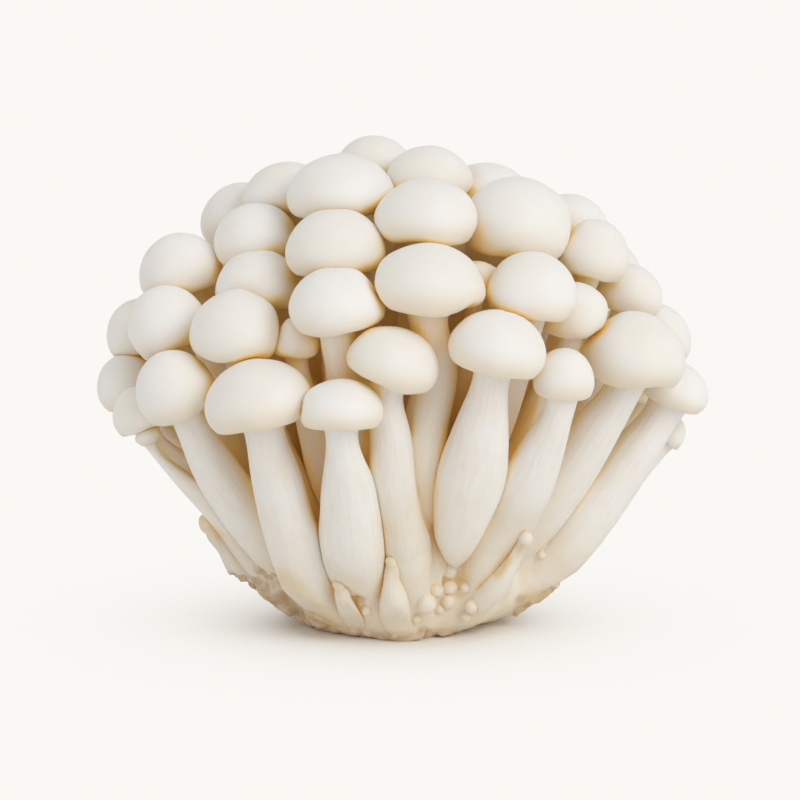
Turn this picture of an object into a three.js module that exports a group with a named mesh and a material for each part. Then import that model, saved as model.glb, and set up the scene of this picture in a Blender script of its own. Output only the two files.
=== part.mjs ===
// White shimeji mushrooms: a bunch that grew together on one fused butt, cut flat so that it stands.
// Millimetres, +Z up. The origin is the middle of the cut face; -Y is the bunch's fuller side.
//
// Every mushroom is one closed body: a loft of rings from the top of the cap, round its rim, across
// the gills and down the stem to its foot on the butt. The bunch is settled as a crowd is: caps that
// are pressed together slide in and out of the dome, feet share out the butt, and stems bow round
// each other. Where two bodies still meet, both give way to a thin gap halfway between them.

import * as THREE from 'three';

// ---- Driving dimensions -------------------------------------------------------------------------

const BUTT_HEIGHT = 15.5;          // top of the butt above the cut
const BUTT_RADIUS = 18;            // at its fullest, a little above the cut
const BUTT_HEART = 3.5;            // height of the point that the butt bulges from
const CUT_RADIUS = 14.5;           // of the flat cut face
const BUTT_LUMPS = 0.055;          // unevenness, as a part of the radius

const CAP_DEPTH = 0.58;            // height of a cap over its width
const CAP_ABOVE_RIM = 0.74;        // part of that height above the widest line
const GILL_RISE = 0.14;            // how far the gills run up to the stem, as a part of that height
const NECK_RADIUS = 0.19;          // of the stem under the cap, over the cap's width
const BELLY_SWELL = 1.32;          // thickest part of a stem over its neck
const FOOT_SWELL = 1.2;            // foot of a stem over its neck
const BELLY_PLACE = 0.62;          // how far down the stem it is thickest

const CAP_LEAN = 0.42;             // outward lean of the outermost caps, as a slope
const BUNCH_REACH = 50;            // how far out the outermost caps stand
const FOOT_SPREAD = 1.9;           // angle of a foot round the butt over the slant of its stem
const LOWEST_FOOT = 88;            // degrees from the top of the butt
const FOOT_ROOM = 2.6;             // half the distance that two feet keep

const GAP = 0.42;                  // left between bodies that press on each other
const BUTT_GAP = 0.35;             // left between a foot and the butt
const CAP_PRESS = 1.6;             // how far two caps may run into each other before they slide
const LEAST_BODY = 0.12;           // part of its full radius that a ring always keeps

const STEM_RISE = 0.26;            // length of the stem's squared start on the butt, over its length
const STEM_DROP = 0.3;             // length of the stem's squared start under the cap, the same way
const FOOT_TURN = 0.65;            // 0: stems stand square on the butt; 1: they point at their caps

const SIDES = 10;                  // corners of each ring
const STEM_PARTS = 5;              // lengths that a stem is made of
const BUTT_SIDES = 28;             // corners of each ring of the butt
const BUTT_RINGS = [18, 36, 54, 70, 84, 96];   // degrees from the top of the butt
const CUT_RING = 103;              // the same, for the ring that is cut off flat

// Rings of a cap: how far out, over its radius, and how high, over its height on that side of the rim.
const CAP_RINGS = [[0.47, 0.88], [0.83, 0.56], [1, 0], [0.95, -0.5], [0.8, -0.97]];

const BUNCH_HEART = new THREE.Vector3(0, 0, 28);

// ---- How the crowd settles ----------------------------------------------------------------------

const CAPS = { rounds: 60, out: 0.2, apart: 0.1, innerShare: 1.5, outerShare: 0.5 };
const FEET = { rounds: 80, step: 0.3 };
const STEMS = { rounds: 40, step: 0.22, room: 0.94, capRoom: 0.9, stiffness: 0.06 };
const NEIGHBOURHOOD = 75;          // bodies whose caps are further apart can't meet
const MARCH = { steps: 12, halvings: 7 };

// ---- The mushrooms ------------------------------------------------------------------------------
// name: [x, y, z of the cap's middle at its widest line, cap width, what differs from the usual]
//   deep        height of the cap over its width
//   lean        slope of the cap's axis along x and y, instead of the usual outward lean
//   neck, belly, heel   radii of the stem: under the cap, at its fullest and on the butt
//   fullest     how far down the stem it is thickest
//   foot        [bearing from the front towards +X, degrees from the top of the butt]
//   bow         how far the middle of the stem leans aside, along x and y

const MUSHROOMS = {
  // the lowest row, with its stems in full view
  front_low_1: [
    -38.8, -26.4, 44.6, 13.8,
    {
      deep: 0.79, lean: [-0.4, -0.34], neck: 3.2, belly: 4.6, heel: 3.8,
      foot: [-62, 76], bow: [-3, -2],
    },
  ],
  front_low_2: [
    -24.3, -35, 44, 18.6,
    {
      deep: 0.56, lean: [-0.16, -0.14], neck: 3.8, belly: 4.9, heel: 4.2,
      foot: [-36, 89], bow: [-1.2, -2.4],
    },
  ],
  front_low_3: [
    -10.4, -40, 43.4, 14.2,
    {
      deep: 0.55, lean: [0, -0.06], neck: 3.1, belly: 5.7, heel: 4.6,
      foot: [-19, 80], bow: [0.6, 0],
    },
  ],
  front_low_4: [
    -1.8, -36.5, 50.8, 16,
    { deep: 0.57, lean: [0.27, -0.12], neck: 3.2, belly: 4, heel: 4.2, foot: [1, 79] },
  ],
  front_low_5: [
    15.8, -37, 53.2, 16.8,
    {
      deep: 0.59, lean: [0.2, -0.12], neck: 3.5, belly: 5.9, heel: 2.4, fullest: 0.5,
      foot: [30, 68],
    },
  ],
  front_low_6: [
    27.3, -32.5, 47.4, 10.6,
    { deep: 0.78, lean: [0.06, -0.08], neck: 3, belly: 5.6, heel: 5, bow: [0, -1] },
  ],
  front_low_7: [
    40, -20.5, 49.8, 18,
    { deep: 0.64, lean: [0.28, -0.16], neck: 3.6, belly: 5.2, heel: 3.6, foot: [58, 70] },
  ],
  front_low_8: [
    47.8, -9.5, 42.8, 12.8,
    { lean: [0.4, -0.1], neck: 3.8, belly: 4.9, heel: 3.8, foot: [66, 88] },
  ],

  // the second row, seen between them and above them
  front_mid_1: [-28.4, -26.2, 54.8, 16.2, { deep: 0.65, lean: [-0.1, -0.3] }],
  front_mid_2: [-18.4, -27, 53.4, 8.6, { deep: 0.72, lean: [0, -0.2], neck: 2.3 }],
  front_mid_3: [-11.2, -32.4, 59.8, 16.4, { deep: 0.62, lean: [0, -0.22], neck: 3.4 }],
  front_mid_4: [
    4.2, -31, 62.7, 19.8,
    { deep: 0.58, lean: [0.03, 0], neck: 3.7, belly: 4, heel: 3, foot: [17, 68], bow: [-4.5, -3] },
  ],
  front_mid_5: [12.8, -22, 63.6, 9, { lean: [0.1, -0.2] }],
  front_mid_6: [22, -28, 61.5, 15.6, { deep: 0.7, lean: [0.05, -0.2] }],
  front_mid_7: [29.6, -20, 57, 12.8, { deep: 0.68, lean: [0.12, -0.2] }],

  // the left side
  left_1: [-40.8, -17, 55, 14, { deep: 0.74, lean: [-0.35, -0.25] }],
  left_2: [-46.2, -4, 51.8, 12.8, { deep: 0.74, lean: [-0.45, -0.1] }],
  left_3: [-48.4, -8, 43, 11.4, { deep: 0.76, lean: [-0.4, -0.15], bow: [4, 2] }],
  left_4: [
    -45.4, -17.8, 39.2, 10,
    { deep: 0.78, lean: [-0.3, -0.2], neck: 2.4, belly: 3.2, foot: [-78, 88], bow: [6, -1] },
  ],
  left_5: [
    -45, -19.6, 36.8, 4.4,
    { deep: 0.9, lean: [-0.4, -0.3], neck: 1.4, foot: [-74, 97], bow: [3, 0] },
  ],
  left_6: [-39.2, -6, 63.2, 15, { deep: 0.68, lean: [-0.3, -0.12] }],

  // the right side
  right_1: [45.2, 2.5, 50.4, 13.4, { deep: 0.68, lean: [0.4, 0] }],
  right_2: [40, -4, 59, 12.4, { deep: 0.66, lean: [0.34, -0.04] }],
  right_3: [33, -12, 66.5, 13.2, { deep: 0.74, lean: [0.25, -0.12] }],
  right_4: [29.6, -1, 70.4, 14.4, { deep: 0.64 }],
  right_5: [47.6, -5, 34, 5.2, { deep: 1, lean: [0.6, 0], neck: 1.6 }],
  right_6: [44.5, 10.5, 40, 13, {}],

  // the upper rows
  upper_1: [-25.2, -16.4, 61.4, 15, { deep: 0.66, lean: [-0.12, -0.2] }],
  upper_2: [-11.6, -22, 68.4, 17.2, { deep: 0.63, lean: [-0.04, -0.18] }],
  upper_3: [-25.8, -7, 68.4, 15.4, { deep: 0.68, lean: [-0.16, -0.12] }],
  upper_4: [4.2, -19.5, 73.4, 18.4, { deep: 0.59, lean: [0.02, -0.1] }],
  upper_5: [20, -13, 71.4, 20, { deep: 0.66, lean: [0.14, -0.16] }],
  upper_6: [-10.8, -11, 77, 19, { deep: 0.58, lean: [-0.05, -0.06] }],
  upper_7: [-29, 11, 70.8, 15.4, { deep: 0.66, lean: [-0.2, 0] }],

  // the crown
  crown_1: [4.6, -6, 79.4, 15.6, {}],
  crown_2: [15, 1.5, 75.4, 17, {}],
  crown_3: [-5.2, 4.5, 81.4, 13.6, {}],
  crown_4: [-20.8, 2, 76, 15.6, { lean: [-0.15, 0] }],
  crown_5: [5.4, 13, 75.8, 17, {}],
  crown_6: [-13.5, 16.5, 72.6, 17.4, {}],
  crown_7: [21.5, 13, 69, 17, {}],

  // the back
  back_upper_1: [-30, 23, 61, 16.6, {}],
  back_upper_2: [-2, 24, 67.4, 17.6, {}],
  back_upper_3: [35.5, 6.5, 62.5, 15.4, {}],
  back_upper_4: [14.5, 25, 62, 17.4, {}],
  back_upper_5: [-15.5, 29, 59, 17, {}],
  back_mid_1: [-38.8, 7.2, 58.5, 16.4, {}],
  back_mid_2: [-38, 20, 47.5, 16.4, {}],
  back_mid_3: [0.5, 33.5, 53.5, 18.4, {}],
  back_mid_4: [29, 20.5, 55, 18.6, {}],
  back_mid_5: [41.6, 18, 49.2, 14.4, {}],
  back_low_1: [-47, 6, 42, 13.4, {}],
  back_low_2: [-22.5, 30.5, 45.5, 18.4, {}],
  back_low_3: [16, 32, 45, 18, {}],
  back_low_4: [33, 26.5, 41, 16.4, {}],
};

// Pins: mushrooms that stopped growing low on the bunch, with a cap no wider than the stem.
const PINS = {
  pin_1: [
    -34, -14.2, 19.6, 3.4,
    { deep: 1, lean: [-0.9, -0.4], neck: 1.7, belly: 3.2, foot: [-94, 94] },
  ],
  pin_2: [
    -10.8, -26.1, 11.2, 2.6,
    { deep: 1, lean: [-0.3, -0.3], neck: 1.3, belly: 1.9, foot: [-23, 96] },
  ],
  pin_3: [
    -1.8, -26.8, 15.4, 2.6,
    { deep: 1, lean: [-0.1, -0.2], neck: 1.2, belly: 2.6, foot: [-1, 92] },
  ],
  pin_4: [
    20.8, -23.6, 18.4, 2.4,
    { deep: 1, lean: [0.4, -0.3], neck: 1.1, belly: 2.2, foot: [37, 88] },
  ],
};

// ---- Seeded chance ------------------------------------------------------------------------------

function seededRandom(seed) {
  let state = seed;
  return () => {
    state = (state * 1664525 + 1013904223) % 4294967296;
    return state / 4294967296;
  };
}

// ---- The butt -----------------------------------------------------------------------------------

const buttHeart = new THREE.Vector3(0, 0, BUTT_HEART);

// How far the butt's surface is from its heart in a direction (polar angle and bearing, radians).
function buttReach(polar, bearing) {
  const crown = BUTT_HEIGHT - BUTT_HEART;
  const plain = 1 / Math.hypot(Math.cos(polar) / crown, Math.sin(polar) / BUTT_RADIUS);
  const lumps = Math.sin(3 * bearing + 0.6) * 0.4 + Math.sin(5 * bearing - 1.1) * 0.35
    + Math.sin(8 * bearing + 4 * polar) * 0.25;
  return plain * (1 + BUTT_LUMPS * lumps * Math.sin(polar));
}

function buttPoint(polar, bearing, lift = 0) {
  const reach = buttReach(polar, bearing) + lift;
  return new THREE.Vector3(
    reach * Math.sin(polar) * Math.sin(bearing),
    -reach * Math.sin(polar) * Math.cos(bearing),
    BUTT_HEART + reach * Math.cos(polar),
  );
}

// Rough distance of a point from the butt's surface: positive outside.
function buttDistance(point) {
  const from = point.clone().sub(buttHeart);
  const reach = from.length();
  const polar = Math.acos(THREE.MathUtils.clamp(from.z / Math.max(reach, 1e-6), -1, 1));
  return reach - buttReach(polar, Math.atan2(from.x, -from.y));
}

// ---- Bodies as skeletons ------------------------------------------------------------------------

function leanOf(x, y, options) {
  if (options.lean) return new THREE.Vector3(options.lean[0], options.lean[1], 1).normalize();
  const slope = CAP_LEAN / BUNCH_REACH;
  return new THREE.Vector3(x * slope, y * slope, 1).normalize();
}

function seed(name, [x, y, z, width, options]) {
  const depth = width * (options.deep ?? CAP_DEPTH);
  const neck = options.neck ?? width * NECK_RADIUS;
  return {
    name,
    middle: new THREE.Vector3(x, y, z),
    axis: leanOf(x, y, options),
    radius: width / 2,
    above: depth * CAP_ABOVE_RIM,
    below: depth * (1 - CAP_ABOVE_RIM),
    neck,
    belly: options.belly ?? neck * BELLY_SWELL,
    heel: options.heel ?? (name in PINS ? options.belly : neck * FOOT_SWELL),
    fullest: options.fullest ?? BELLY_PLACE,
    foot: options.foot,
    bow: new THREE.Vector3(...(options.bow ?? [0, 0]), 0),
  };
}

// Depth of a point in a cap's ellipsoid, in mm: negative inside.
function capDistance(body, point) {
  const from = point.clone().sub(body.middle);
  const along = from.dot(body.axis);
  const out = Math.sqrt(Math.max(from.lengthSq() - along * along, 0));
  const half = along > 0 ? body.above : body.below;
  const measure = Math.hypot(out / body.radius, along / half);
  return (measure - 1) * (body.above + body.below) / 2;
}

function stemDistance(body, point) {
  let nearest = Infinity;
  const line = body.stem;
  for (let i = 0; i + 1 < line.length; i += 1) {
    const run = line[i + 1].at.clone().sub(line[i].at);
    const part = THREE.MathUtils.clamp(point.clone().sub(line[i].at).dot(run) / run.lengthSq(), 0, 1);
    const onLine = line[i].at.clone().addScaledVector(run, part);
    const radius = THREE.MathUtils.lerp(line[i].radius, line[i + 1].radius, part);
    nearest = Math.min(nearest, onLine.distanceTo(point) - radius);
  }
  return nearest;
}

function bodyDistance(body, point) {
  return Math.min(capDistance(body, point), stemDistance(body, point));
}

// ---- Settling the crowd -------------------------------------------------------------------------

// How far a cap reaches from its middle in a direction.
function capReach(body, direction) {
  const along = direction.dot(body.axis);
  const half = along > 0 ? body.above : body.below;
  return 1 / Math.hypot(Math.sqrt(Math.max(1 - along * along, 0)) / body.radius, along / half);
}

// Caps that are pressed too hard slide: the one further out of the dome goes out, the other goes in.
function settleCaps(bodies) {
  for (let round = 0; round < CAPS.rounds; round += 1) {
    for (let i = 0; i < bodies.length; i += 1) {
      for (let j = i + 1; j < bodies.length; j += 1) {
        const apart = bodies[j].middle.clone().sub(bodies[i].middle);
        const distance = apart.length();
        const way = apart.clone().divideScalar(distance);
        const room = capReach(bodies[i], way) + capReach(bodies[j], way.clone().negate());
        const press = room - CAP_PRESS - distance;
        if (press <= 0) continue;
        const outward = bodies[i].middle.clone().add(bodies[j].middle).divideScalar(2)
          .sub(BUNCH_HEART).normalize();
        const side = way.dot(outward) > 0 ? 1 : -1;
        const [first, second] = side > 0
          ? [CAPS.innerShare, CAPS.outerShare]
          : [CAPS.outerShare, CAPS.innerShare];
        const step = outward.multiplyScalar(side * press * CAPS.out)
          .addScaledVector(way, press * CAPS.apart);
        bodies[i].middle.addScaledVector(step, -first);
        bodies[j].middle.addScaledVector(step, second);
      }
    }
  }
}

// Feet go round the butt by the bearing and the slant of their stems, then share out the room.
function settleFeet(bodies) {
  const lowest = THREE.MathUtils.degToRad(LOWEST_FOOT);
  for (const body of bodies) {
    const { x, y, z } = body.middle;
    if (body.foot) {
      [body.bearing, body.polar] = body.foot.map(THREE.MathUtils.degToRad);
      continue;
    }
    body.bearing = Math.atan2(x, -y);
    body.polar = Math.min(FOOT_SPREAD * Math.atan2(Math.hypot(x, y), z), lowest);
  }
  for (let round = 0; round < FEET.rounds; round += 1) {
    for (let i = 0; i < bodies.length; i += 1) {
      for (let j = i + 1; j < bodies.length; j += 1) {
        const first = buttPoint(bodies[i].polar, bodies[i].bearing);
        const second = buttPoint(bodies[j].polar, bodies[j].bearing);
        const apart = second.clone().sub(first);
        const press = 2 * FOOT_ROOM - apart.length();
        if (press <= 0) continue;
        apart.setLength(press * FEET.step);
        moveFoot(bodies[i], first.sub(apart), lowest);
        moveFoot(bodies[j], second.add(apart), lowest);
      }
    }
  }
}

function moveFoot(body, place, lowest) {
  if (body.foot) return;
  const from = place.sub(buttHeart);
  body.polar = Math.min(Math.acos(from.z / from.length()), lowest);
  body.bearing = Math.atan2(from.x, -from.y);
}

// A stem leaves the butt squarely and meets its cap squarely. It is thickest below its middle.
function growStem(body) {
  const foot = buttPoint(body.polar, body.bearing, BUTT_GAP);
  const rise = buttPoint(body.polar, body.bearing, BUTT_GAP + 1).sub(foot);
  const neck = body.middle.clone().addScaledVector(body.axis, -body.below * (1 - GILL_RISE));
  const length = foot.distanceTo(neck);
  const lift = rise.lerp(neck.clone().sub(foot).normalize(), FOOT_TURN).normalize();
  const curve = new THREE.CubicBezierCurve3(
    neck,
    neck.clone().addScaledVector(body.axis, -length * STEM_DROP).add(body.bow),
    foot.clone().addScaledVector(lift, length * STEM_RISE).add(body.bow),
    foot,
  );
  body.stem = [];
  for (let i = 0; i <= STEM_PARTS; i += 1) {
    const part = i / STEM_PARTS;
    body.stem.push({ at: curve.getPoint(part), radius: stemRadius(body, part) });
  }
}

function stemRadius(body, part) {
  const above = part < body.fullest;
  const swell = above
    ? THREE.MathUtils.smoothstep(part, 0.04, body.fullest)
    : 1 - THREE.MathUtils.smoothstep(part, body.fullest, 1.06);
  return THREE.MathUtils.lerp(above ? body.neck : body.heel, body.belly, swell);
}

// Stems bow away from each other and from the caps that they pass. Their ends stay where they are.
function settleStems(bodies) {
  for (let round = 0; round < STEMS.rounds; round += 1) {
    for (const body of bodies) {
      for (const other of bodies) {
        if (other !== body) bowAway(body, other);
      }
    }
    for (const body of bodies) smoothStem(body);
  }
}

// Only the worst press of the other body on a joint counts, and it pushes the joint level.
function bowAway(body, other) {
  for (let i = 1; i + 1 < body.stem.length; i += 1) {
    const joint = body.stem[i];
    let press = 0;
    const push = new THREE.Vector3();
    for (const mark of other.stem) {
      const apart = joint.at.clone().sub(mark.at);
      const room = (joint.radius + mark.radius) * STEMS.room - apart.length();
      if (room > press) {
        press = room;
        push.copy(apart);
      }
    }
    const depth = joint.radius * STEMS.capRoom - capDistance(other, joint.at);
    if (depth > press) {
      press = depth;
      push.copy(joint.at).sub(other.middle);
    }
    if (press <= 0) continue;
    push.z = 0;
    if (push.lengthSq() > 1e-6) joint.at.add(push.setLength(press * STEMS.step));
  }
}

// A stem is stiff: each joint is drawn a little towards the middle of the joints beside it.
function smoothStem(body) {
  const before = body.stem.map((mark) => mark.at.clone());
  for (let i = 1; i + 1 < body.stem.length; i += 1) {
    const middle = before[i - 1].clone().add(before[i + 1]).multiplyScalar(0.5);
    body.stem[i].at.lerp(middle, STEMS.stiffness);
  }
}

// ---- Skins --------------------------------------------------------------------------------------

// One ring: its centre, the two directions it is drawn in, and its radius.
function ring(centre, axis, reference, radius) {
  const across = reference.clone().addScaledVector(axis, -reference.dot(axis)).normalize();
  const over = new THREE.Vector3().crossVectors(axis, across);
  return { centre, across, over, radius };
}

function ringCorner({ centre, across, over, radius }, corner) {
  const turn = (corner / SIDES) * 2 * Math.PI;
  return centre.clone()
    .addScaledVector(across, radius * Math.cos(turn))
    .addScaledVector(over, radius * Math.sin(turn));
}

// The rings of a cap from its top to the stem. Each is pulled in towards the cap's middle where it
// has to be, and each ring of the stem towards its own centre.
function ringsOf(body) {
  const { middle, axis, radius, above, below } = body;
  const start = Math.abs(axis.x) < 0.9 ? new THREE.Vector3(1, 0, 0) : new THREE.Vector3(0, 1, 0);
  const rings = CAP_RINGS.map(([out, height]) => {
    const centre = middle.clone().addScaledVector(axis, height * (height > 0 ? above : below));
    return { ...ring(centre, axis, start, radius * out), heart: middle };
  });
  for (let i = 0; i < body.stem.length; i += 1) {
    const ahead = body.stem[Math.min(i + 1, body.stem.length - 1)].at;
    const behind = body.stem[Math.max(i - 1, 0)].at;
    const along = i === 0 ? axis : behind.clone().sub(ahead).normalize();
    const centre = body.stem[i].at;
    rings.push({ ...ring(centre, along, start, body.stem[i].radius), heart: centre });
  }
  return rings;
}

// The furthest point from the heart towards a corner that stays on the body's own side.
function giveWay(body, neighbours, heart, corner) {
  const free = (point) => {
    if (point.z < BUTT_GAP || buttDistance(point) < BUTT_GAP) return false;
    const own = bodyDistance(body, point);
    return neighbours.every((other) => bodyDistance(other, point) >= own + GAP);
  };
  const { steps, halvings } = MARCH;
  let last = 0;
  for (let i = 1; i <= steps; i += 1) {
    if (!free(heart.clone().lerp(corner, i / steps))) break;
    last = i / steps;
  }
  if (last === 1) return corner;
  let low = last;
  let high = last + 1 / steps;
  for (let i = 0; i < halvings; i += 1) {
    const part = (low + high) / 2;
    if (free(heart.clone().lerp(corner, part))) low = part;
    else high = part;
  }
  return heart.clone().lerp(corner, Math.max(low, LEAST_BODY));
}

// A closed body: a fan at the top, walls between the rings, and a fan at the bottom.
function closedLoft(top, rings, bottom) {
  const points = [top];
  for (const corners of rings) points.push(...corners);
  points.push(bottom);
  const sides = rings[0].length;
  const faces = [];
  const last = points.length - 1;
  for (let side = 0; side < sides; side += 1) {
    const next = (side + 1) % sides;
    faces.push(0, 1 + side, 1 + next);
    for (let level = 0; level + 1 < rings.length; level += 1) {
      const upper = 1 + level * sides;
      const lower = upper + sides;
      faces.push(upper + side, lower + side, lower + next);
      faces.push(upper + side, lower + next, upper + next);
    }
    const lowest = 1 + (rings.length - 1) * sides;
    faces.push(lowest + side, last, lowest + next);
  }
  const geometry = new THREE.BufferGeometry().setFromPoints(points);
  geometry.setIndex(faces);
  geometry.computeVertexNormals();
  return geometry;
}

function mushroomGeometry(body, crowd) {
  const reach = (other) => other.middle.distanceTo(body.middle) < NEIGHBOURHOOD;
  const neighbours = crowd.filter((other) => other !== body && reach(other));
  const rings = ringsOf(body).map((loop) => {
    const corners = [];
    for (let side = 0; side < SIDES; side += 1) {
      corners.push(giveWay(body, neighbours, loop.heart, ringCorner(loop, side)));
    }
    return corners;
  });
  const crown = body.middle.clone().addScaledVector(body.axis, body.above);
  const top = giveWay(body, neighbours, body.middle, crown);
  const foot = body.stem[body.stem.length - 1].at;
  return closedLoft(top, rings, foot);
}

function buttGeometry() {
  const rings = [];
  for (const degrees of BUTT_RINGS) {
    const polar = THREE.MathUtils.degToRad(degrees);
    rings.push(buttRing((bearing) => buttPoint(polar, bearing)));
  }
  rings.push(buttRing((bearing) => {
    const point = buttPoint(THREE.MathUtils.degToRad(CUT_RING), bearing);
    point.z = 0;
    return point.setLength(CUT_RADIUS * point.length() / BUTT_RADIUS);
  }));
  return closedLoft(buttPoint(0, 0), rings, new THREE.Vector3(0, 0, 0));
}

function buttRing(place) {
  const corners = [];
  for (let side = 0; side < BUTT_SIDES; side += 1) {
    corners.push(place((side / BUTT_SIDES) * 2 * Math.PI));
  }
  return corners;
}

// ---- The bunch ----------------------------------------------------------------------------------

const chance = seededRandom(41);

// Fresh white shimeji is ivory, each mushroom a little warmer or cooler than the next.
function ivory() {
  const warmth = chance() * 0.03;
  const colour = new THREE.Color().setRGB(0.9, 0.875 - warmth, 0.83 - 2 * warmth, THREE.SRGBColorSpace);
  return new THREE.MeshStandardMaterial({ color: colour, roughness: 0.55, metalness: 0 });
}

// The butt is matted mycelium with the growing medium still in it.
const mycelium = new THREE.MeshStandardMaterial({ color: 0xd9c5a5, roughness: 0.85, metalness: 0 });

function buildBunch() {
  const mushrooms = Object.entries(MUSHROOMS).map(([name, row]) => seed(name, row));
  settleCaps(mushrooms);
  const pins = Object.entries(PINS).map(([name, row]) => seed(name, row));
  const crowd = [...mushrooms, ...pins];
  settleFeet(crowd);
  crowd.forEach(growStem);
  settleStems(crowd);

  const bunch = new THREE.Group();
  const butt = new THREE.Mesh(buttGeometry(), mycelium);
  butt.name = 'butt';
  bunch.add(butt);
  for (const body of crowd) {
    const mesh = new THREE.Mesh(mushroomGeometry(body, crowd), ivory());
    mesh.name = body.name;
    bunch.add(mesh);
  }
  return bunch;
}

export default buildBunch();
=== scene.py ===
import math

import bpy
import numpy as np
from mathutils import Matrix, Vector, noise
from mathutils.bvhtree import BVHTree
from mathutils.kdtree import KDTree


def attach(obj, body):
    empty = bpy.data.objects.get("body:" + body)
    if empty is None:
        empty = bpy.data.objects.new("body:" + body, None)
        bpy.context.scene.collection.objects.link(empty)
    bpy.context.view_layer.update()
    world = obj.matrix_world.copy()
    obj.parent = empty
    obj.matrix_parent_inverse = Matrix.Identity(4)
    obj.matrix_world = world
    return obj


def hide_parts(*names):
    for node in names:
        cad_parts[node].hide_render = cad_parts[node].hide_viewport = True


# A bunch of white shimeji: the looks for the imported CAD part, in its frame. Metres, +Z up, -Y
# front.
#
# Each mushroom is grown again from the cage of its own CAD solid: the cage's rings are rounded off,
# the rim rolls in over a gill cavity, and skins that press on each other settle side by side. The
# butt is the CAD butt with the feet of the stems fused into it, lumpy where the growing medium
# still clings to it.

MM = 0.001

# ---- Sizes -----------------------------------------------------------------------------------

CAP_CAGE = 5                    # rings of a cage from the top of the cap to the bottom of its rim
MUSHROOM_SIDES = 10             # corners of each ring of a mushroom's cage
WELD = 0.0005 * MM              # corners closer than this are one corner

COLUMNS = 48   # corners of each ring of a fine skin
CAP_RINGS = 34
STEM_RINGS = 48
TOUCH = 0.03 * MM               # left between skins that press on each other
CLOSE = 0.9 * MM                # caps nearer than this draw together over the CAD's gap
STEM_CLOSE = 1.9 * MM           # the same for stems
CLOSED = 0.4                    # skins within this share of that distance close up altogether
LOOSE_FOOT = (0.66, 0.84)       # over this part of its length a stem draws less and less,
LOOSE_SHARE = 0.9               # by this much in the end
MOST_PUSH = 1.3 * MM            # a skin gives way by no more than this in one turn

GILL_DEPTH = 0.55               # of the gill cavity, over the height of the rim
DENTS = 0.022                   # unevenness of a cap, over its radius
RIM_WAVE = 0.07                 # how far a rim rises and falls, over the cap's radius
RIM_TURNS = 1.3                 # how often it does
FIBRES = 0.05 * MM              # height of the ridges along a stem
STEM_SWELL = 0.16 * MM          # height of its slow swells
NECK_FLARE = 1.10               # a stem's head, over its neck
HEAD_RISE = 0.9                 # how far the head stands up in the gill cavity, over its depth
FOOT_FLARE = (0.8, 1.12)        # from here down a stem widens, to this much at its foot
TAPERED = {"front_low_5": (0.4, 0.6)}   # the same for a stem that ends in a point
HEEL = 3.4 * MM                 # how far a stem runs on into the butt
HEEL_INWARD = 0.5               # its way there: this much towards the middle,
HEEL_DOWN = 0.8                 # and this much down
LOWEST_HEEL = 0.6 * MM
LOWEST = 0.2 * MM               # no stem comes nearer to the floor

# Where each mushroom's noise starts, over its seed.
SEED_STEPS = (7.13, 3.71, 1.93)

# The rim's inner side and the gills: how far in from the rim to the stem, and how high in the
# cavity.
UNDERSIDE = [(0.07, 0.03), (0.15, 0.28), (0.22, 0.62), (0.34, 0.88), (0.62, 1.0), (0.9, 0.94)]

# Rims that hang or notch more than most: bearing from the front and spread in degrees, and how far
# the rim drops, over the cap's radius.
LOBES = {
    "front_low_2": [(-85, 50, 0.06), (-15, 16, -0.04)],
    "front_low_7": [(-40, 40, 0.10), (40, 40, -0.12)],
    "front_mid_1": [(66, 15, 0.13), (92, 10, -0.07)],
    "front_mid_4": [(-72, 11, -0.1), (58, 10, -0.08)],
    "front_mid_7": [(75, 25, 0.06)],
    "left_1": [(-58, 22, 0.12), (-92, 14, -0.08)],
    "right_2": [(-60, 35, 0.1)],
    "upper_5": [(-60, 30, 0.06)],
}


# ---- Small helpers ---------------------------------------------------------------------------

def unit(vector):
    return vector / np.maximum(np.linalg.norm(vector, axis=-1, keepdims=True), 1e-12)


def smoothstep(low, high, value):
    part = np.clip((np.asarray(value) - low) / (high - low), 0, 1)
    return part * part * (3 - 2 * part)


def blurred(field, rounds):
    """A field on a grid of rings and columns, evened out. Columns close on themselves."""
    for _ in range(rounds):
        beside = np.roll(field, 1, axis=1) + np.roll(field, -1, axis=1)
        above = np.concatenate([field[:1], field[:-1]])
        below = np.concatenate([field[1:], field[-1:]])
        field = (field * 2 + beside + above + below) / 6
    return field


def round_spline(loops, count):
    """Closed loops, drawn again with more corners by a cubic spline through the old ones."""
    sides = loops.shape[-2]
    row = np.zeros(sides)
    row[[0, 1, -1]] = 4 / 6, 1 / 6, 1 / 6
    matrix = np.array([np.roll(row, k) for k in range(sides)])
    control = np.linalg.solve(matrix, loops)
    place = np.arange(count) * sides / count
    start = place.astype(int)
    part = (place - start)[:, None]
    weights = [(1 - part) ** 3, 3 * part ** 3 - 6 * part ** 2 + 4,
               -3 * part ** 3 + 3 * part ** 2 + 3 * part + 1, part ** 3]
    return sum(w / 6 * control[..., (start - 1 + k) % sides, :] for k, w in enumerate(weights))


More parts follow.
